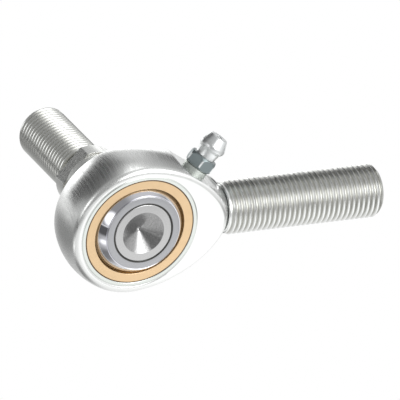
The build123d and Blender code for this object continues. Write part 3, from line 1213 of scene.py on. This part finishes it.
def nipple_finish(settings):
    """Passivated zinc on the nipple, greener and duller on the hexagon and collar."""
    f = Finish("passivated_nipple", nipple_seat(settings), NIPPLE_AXIS, BORE_AXIS)
    w = f.w
    turn = f.group(turning_marks(), fineness=8.0, breakup=0.3)
    plate = f.group(plating(), cloud_scale=0.6, grain_scale=9.0)
    tone = w.blend(plate["Clouds"], shade(settings.plate, 0.85), settings.plate)
    hex_start = (settings.collar_height + settings.groove_height) / MM
    hex_end = hex_start + settings.hex_height / MM
    below_waist = w.span(turn["Along"], hex_end + 0.15, hex_end - 0.05)
    on_collar = w.span(turn["Along"], hex_start - 0.05, hex_start - 0.2)
    corner = settings.hex_width / sqrt(3) / MM
    # Painted highlight: the hexagon's corners are lightened to the bright plate colour, as the
    # glint off rounded edges.
    corner_highlight = w.span(turn["Radius"], corner - 0.17, corner - 0.05)
    hexagon = w.blend(corner_highlight, settings.milled, settings.plate)
    colour = w.blend(below_waist, tone, hexagon)
    colour = w.blend(on_collar, colour, settings.collar)
    rough = w.span(turn["Marks"], 0.3, 0.7, 0.28, 0.42)
    rough = w.add(rough, w.times(below_waist, 0.06))
    return f.done(colour, rough, w.add(turn["Marks"], plate["Grain"]), 0.012, 0.7)


def small_steel_finish(name, colour, roughness, grain):
    """Steel for the valve's small pieces, with a fine grain."""
    f = Finish(name, NIPPLE_TOP, NIPPLE_AXIS, BORE_AXIS)
    plate = f.group(plating(), cloud_scale=1.5, grain_scale=grain)
    tone = f.w.blend(plate["Clouds"], shade(colour, 0.85), colour)
    rough = f.w.span(plate["Grain"], 0.3, 0.7, roughness * 0.8, roughness * 1.2)
    return f.done(tone, rough, plate["Grain"], 0.004, 0.4)


# --------------------------------------------------------------------- operators


class ROD_OT_housing(bpy.types.Operator):
    """Build the eye, neck and threaded shank"""

    bl_idname = "rod_end.housing"
    bl_label = "Housing"

    def execute(self, context):
        s = context.scene.rod_end
        zinc = zinc_finish(s.housing, s.bearing, s.thread)
        build_housing(s.housing, s.bearing, s.nipple, s.thread, zinc)
        return {"FINISHED"}


class ROD_OT_race(bpy.types.Operator):
    """Build the two bronze race inserts"""

    bl_idname = "rod_end.race"
    bl_label = "Race inserts"

    def execute(self, context):
        s = context.scene.rod_end
        bronze = bronze_finish(s.bearing)
        for side in (-1, 1):
            build_race(side, s.bearing, s.thread, bronze)
        return {"FINISHED"}


class ROD_OT_ball(bpy.types.Operator):
    """Build the chromed swivel ball"""

    bl_idname = "rod_end.ball"
    bl_label = "Ball"

    def execute(self, context):
        s = context.scene.rod_end
        build_ball(s.bearing, s.stud, s.thread, chrome_finish(s.bearing, s.stud))
        return {"FINISHED"}


class ROD_OT_stud(bpy.types.Operator):
    """Build the riveted stud with its wrench collar and thread"""

    bl_idname = "rod_end.stud"
    bl_label = "Stud"

    def execute(self, context):
        s = context.scene.rod_end
        build_stud(s.stud, s.bearing, s.thread, stud_finish(s.stud, s.bearing, s.thread))
        return {"FINISHED"}


class ROD_OT_nipple(bpy.types.Operator):
    """Build the grease nipple"""

    bl_idname = "rod_end.nipple"
    bl_label = "Grease nipple"

    def execute(self, context):
        s = context.scene.rod_end
        build_nipple(s.nipple, s.thread, nipple_finish(s.nipple))
        return {"FINISHED"}


class ROD_OT_valve(bpy.types.Operator):
    """Finish the check ball and its spring inside the nipple"""

    bl_idname = "rod_end.valve"
    bl_label = "Check valve"

    def execute(self, context):
        ball_steel = small_steel_finish("polished_check_ball", (0.72, 0.72, 0.72), 0.12, 3.0)
        wire_steel = small_steel_finish("drawn_spring_wire", (0.50, 0.50, 0.51), 0.3, 12.0)
        check_ball = frame["nodes"]["nipple_check_ball"]
        check_ball.data.materials.clear()
        check_ball.data.materials.append(ball_steel)
        build_spring(context.scene.rod_end.nipple, wire_steel)
        return {"FINISHED"}


class ROD_OT_stage(bpy.types.Operator):
    """Set out the floor, the lights and the camera"""

    bl_idname = "rod_end.stage"
    bl_label = "Stage"

    def execute(self, context):
        stage = context.scene.rod_end.stage
        build_floor(stage)
        build_world()
        build_lights()
        build_camera(stage)
        return {"FINISHED"}


# ------------------------------------------------------------------------- stage


WHITE = (1.0, 1.0, 1.0)
ROOM_LEVEL = 0.36

# Pools of light and shade on the paper: centre in mm, inner and outer radius in mm, brightness.
FLOOR_POOLS = (
    ((-62.0, 36.0), 24.0, 76.0, 0.28),
    ((-370.0, -95.0), 164.0, 330.0, 0.12),
    ((-138.0, -38.0), 46.0, 82.0, 0.12),
    ((-20.0, -7.0), 4.0, 18.0, 0.25),
    ((34.0, 405.0), 150.0, 290.0, 2.2),
    ((36.0, -52.0), 20.0, 75.0, 1.35),
    ((98.0, -50.0), 20.0, 56.0, 0.45),
    ((-80.0, -134.0), 14.0, 58.0, 0.30),
    ((-47.0, -15.0), 2.0, 13.0, 1.6),
)

# Cards and dark openings round the studio: direction, inner and outer half angle, brightness.
STUDIO_CARDS = (
    ("dark wall behind", (-0.50, 0.74, 0.45), 22, 44, 0.09),
    ("strip behind", (0.30, 0.77, 0.55), 4, 20, 0.75),
    ("dark corner behind right", (0.70, 0.70, 0.12), 6, 22, 0.12),
    ("pale wall low behind", (-0.22, 0.97, 0.03), 8, 19, 2.4),
    ("pale wall low behind right", (0.36, 0.92, 0.04), 8, 18, 2.4),
    ("overhead sheet", (0.38, -0.05, 0.92), 12, 48, 0.75),
    ("key window", (0.41, -0.76, 0.50), 15, 30, 3.2),
    ("dark room in front", (-0.30, -0.93, 0.21), 6, 20, 0.40),
    ("right sheet", (0.88, -0.46, 0.10), 10, 32, 1.2),
    ("left sheet", (-0.97, 0.20, 0.06), 8, 26, 0.6),
    ("left window", (-0.89, -0.34, 0.28), 2, 19, 2.1),
)

# Area lights: place in metres, width in metres, power in watts.
SOFT_BOXES = (
    ("front_box", (0.45, -0.85, 0.55), 0.30, 1.2),
    ("top_box", (0.15, 0.25, 1.10), 0.40, 0.6),
)


def build_floor(settings):
    """A wide sheet of white paper. The metal sees it brightest in front and dim behind the stud."""
    reach = settings.floor_size
    level_z = cad_low.z - settings.floor_drop
    bm = bmesh.new()
    corners = [(-reach, -reach), (reach, -reach), (reach, reach), (-reach, reach)]
    bm.faces.new([bm.verts.new((x, y, level_z)) for x, y in corners])
    floor = make_object("floor", bm)
    material = bpy.data.materials.new("white_paper")
    material.use_nodes = True
    w = Wiring(material.node_tree)
    shader = material.node_tree.nodes["Principled BSDF"]
    constants = {
        "Base Color": (0, 0, 0, 1),
        "Roughness": 1.0,
        "Specular IOR Level": 0.0,
        "Emission Strength": 1.0,
    }
    for name, value in constants.items():
        shader.inputs[name].default_value = value
    place = w.node("ShaderNodeTexCoord").outputs["Object"]
    colour = settings.paper[:]
    for centre, inner, outer, level in FLOOR_POOLS:
        middle = (centre[0] * MM, centre[1] * MM, level_z)
        away = w.node("ShaderNodeVectorMath", {0: place, 1: middle}, operation="DISTANCE")
        share = w.span(away.outputs["Value"], outer * MM, inner * MM)
        colour = w.blend(share, colour, (level,) * 3)
    seen = w.node("ShaderNodeLightPath").outputs["Is Camera Ray"]
    w.feed(shader.inputs["Emission Color"], w.blend(seen, colour, WHITE))
    floor.data.materials.append(material)


def build_world():
    """The studio round the object: a grey room with white cards and dark openings."""
    world = bpy.data.worlds.new("studio")
    bpy.context.scene.world = world
    world.use_nodes = True
    w = Wiring(world.node_tree)
    background = world.node_tree.nodes["Background"]
    direction = w.node("ShaderNodeTexCoord").outputs["Generated"]
    colour = (ROOM_LEVEL,) * 3
    for name, towards, inner, outer, level in STUDIO_CARDS:
        inputs = {0: direction, 1: Vector(towards).normalized()}
        facing = w.node("ShaderNodeVectorMath", inputs, operation="DOT_PRODUCT", label=name)
        share = w.span(facing.outputs["Value"], cos(radians(outer)), cos(radians(inner)))
        colour = w.blend(share, colour, (level,) * 3)
    seen = w.node("ShaderNodeLightPath").outputs["Is Camera Ray"]
    w.feed(background.inputs["Color"], w.blend(seen, colour, WHITE))


def build_lights():
    """Large soft boxes: one in front over the shank, one high above."""
    for name, place, width, power in SOFT_BOXES:
        data = bpy.data.lights.new(name, "AREA")
        data.shape = "SQUARE"
        data.size = width
        data.energy = power
        lamp = bpy.data.objects.new(name, data)
        lamp.location = place
        lamp.rotation_euler = (-Vector(place)).to_track_quat("-Z", "Y").to_euler()
        bpy.context.scene.collection.objects.link(lamp)


def build_camera(settings):
    """The camera looks down on the object from the front left, slightly rolled."""
    a, e, roll = settings.azimuth, settings.elevation, settings.roll
    back = Vector((sin(a) * cos(e), -cos(a) * cos(e), sin(e)))
    level_right = Vector((cos(a), sin(a), 0))
    level_up = back.cross(level_right)
    right = level_right * cos(roll) + level_up * sin(roll)
    up = back.cross(right)
    data = bpy.data.cameras.new("camera")
    data.lens = settings.lens
    data.sensor_width = 36.0
    data.clip_start = settings.distance / 100
    data.clip_end = settings.distance * 10
    camera = bpy.data.objects.new("camera", data)
    place = right * settings.aim_right + up * settings.aim_up + back * settings.distance
    turn = Matrix((right, up, back)).transposed().to_4x4()
    camera.matrix_world = Matrix.Translation(place) @ turn
    scene = bpy.context.scene
    scene.collection.objects.link(camera)
    scene.camera = camera
    scene.view_settings.view_transform = "Standard"


# ------------------------------------------------------------------------- panel


class ROD_PT_panel(bpy.types.Panel):
    bl_label = "Rod End"
    bl_space_type = "VIEW_3D"
    bl_region_type = "UI"
    bl_category = "Rod End"

    def draw(self, context):
        for operator in BUILDERS:
            self.layout.operator(operator.bl_idname)
        settings = context.scene.rod_end
        for name in RodEndSettings.__annotations__:
            group = getattr(settings, name)
            box = self.layout.box()
            box.label(text=name.title())
            for value in group.__annotations__:
                box.prop(group, value)


BUILDERS = (
    ROD_OT_housing,
    ROD_OT_race,
    ROD_OT_ball,
    ROD_OT_stud,
    ROD_OT_nipple,
    ROD_OT_valve,
    ROD_OT_stage,
)
SETTINGS = (
    ThreadSettings,
    HousingSettings,
    BearingSettings,
    StudSettings,
    NippleSettings,
    StageSettings,
    RodEndSettings,
)
CLASSES = SETTINGS + BUILDERS + (ROD_PT_panel,)


def register():
    for item in CLASSES:
        bpy.utils.register_class(item)
    bpy.types.Scene.rod_end = PointerProperty(type=RodEndSettings)


def unregister():
    del bpy.types.Scene.rod_end
    for item in reversed(CLASSES):
        bpy.utils.unregister_class(item)


def main():
    register()
    for operator in BUILDERS:
        group, name = operator.bl_idname.split(".")
        getattr(getattr(bpy.ops, group), name)()


if __name__ == "__main__":
    main()
